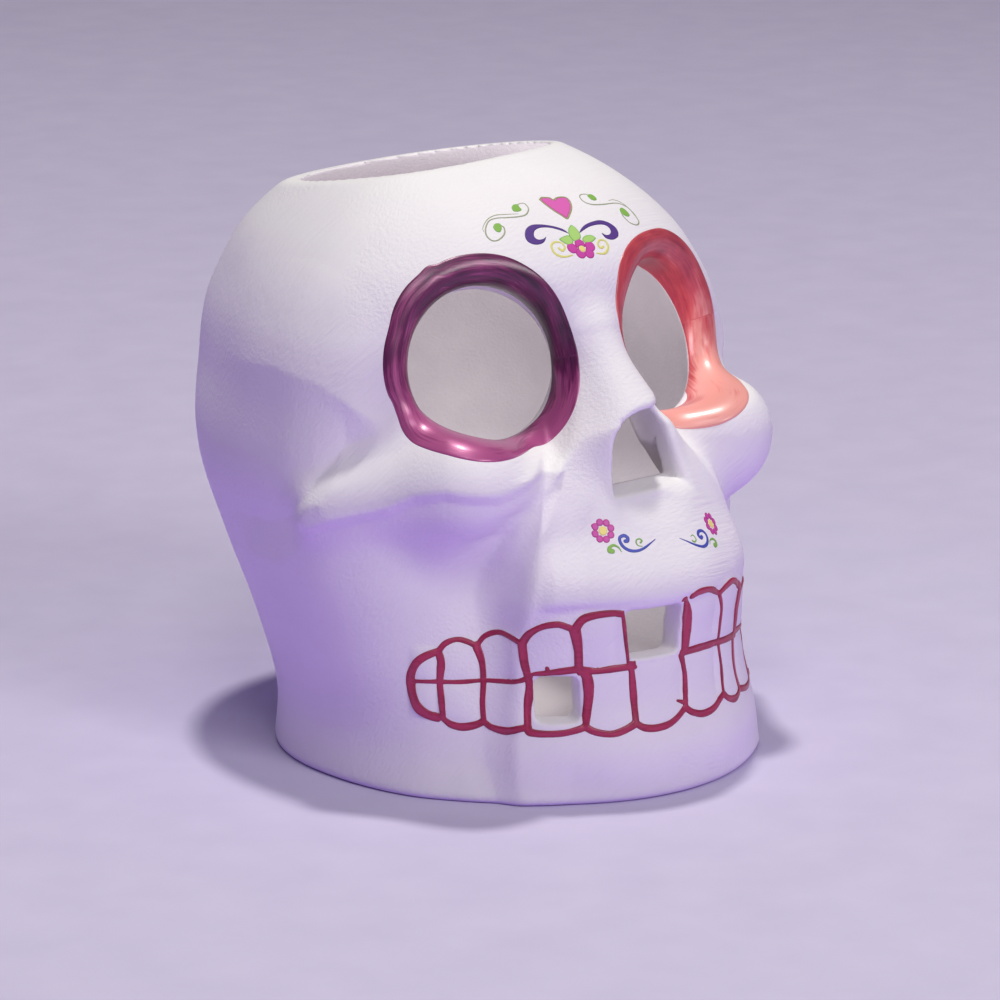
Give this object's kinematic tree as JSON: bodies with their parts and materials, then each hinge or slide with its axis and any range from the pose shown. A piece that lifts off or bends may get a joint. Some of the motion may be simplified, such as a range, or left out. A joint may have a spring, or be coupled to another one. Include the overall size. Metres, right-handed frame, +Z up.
{
  "type": "skull decoration",
  "caption": "Hollow white ceramic skull with an open slanted crown, bored eye sockets, a nose opening, missing teeth, painted eye rings, tooth lines and flower transfers.",
  "frame": {"origin": "on the floor under the centre of the whole bounding box, with the flat base on z = 0", "axes": "+Z up, the face looks toward -Y, +X is the skull's own left side"},
  "size_m": [0.1272, 0.1384, 0.1325],
  "materials": {
    "white_ceramic": "matte chalk-white ground coat with fine brush ridges over fired clay",
    "metallic_purple_paint": "hand-brushed metallic purple paint, glossy with streaks",
    "coral_paint": "hand-brushed coral paint, satin gloss",
    "crimson_paint": "thick hand-drawn crimson brush line, satin",
    "pink_print": "printed transfer, satin",
    "olive_print": "printed transfer, satin",
    "green_print": "printed transfer, satin",
    "violet_print": "printed transfer, satin",
    "yellow_print": "printed transfer, satin",
    "magenta_print": "printed transfer, satin",
    "cream_print": "printed transfer, satin",
    "blue_print": "printed transfer, satin"
  },
  "bodies": {
    "root": {"skull_shell": "white_ceramic", "right_eye_paint": "metallic_purple_paint", "left_eye_paint": "coral_paint", "tooth_outline_paint": "crimson_paint", "heart_decal": "pink_print", "heart_outline_decal": "olive_print", "left_vine_decal": "green_print", "left_vine_bud_1": "green_print", "left_vine_bud_2": "green_print", "left_violet_scroll": "violet_print", "left_yellow_curl": "yellow_print", "right_vine_decal": "green_print", "right_vine_bud_1": "green_print", "right_vine_bud_2": "green_print", "right_violet_scroll": "violet_print", "right_yellow_curl": "yellow_print", "brow_leaf_1": "green_print", "brow_leaf_2": "green_print", "brow_leaf_3": "green_print", "brow_flower_petals": "magenta_print", "brow_flower_centre": "cream_print", "left_lip_flower_petals": "magenta_print", "left_lip_flower_centre": "cream_print", "left_lip_blue_scroll": "blue_print", "left_lip_outer_curl": "green_print", "left_lip_inner_curl": "green_print", "right_lip_flower_petals": "magenta_print", "right_lip_flower_centre": "cream_print", "right_lip_blue_scroll": "blue_print", "right_lip_outer_curl": "green_print", "right_lip_inner_curl": "green_print"}
  },
  "joints": []
}
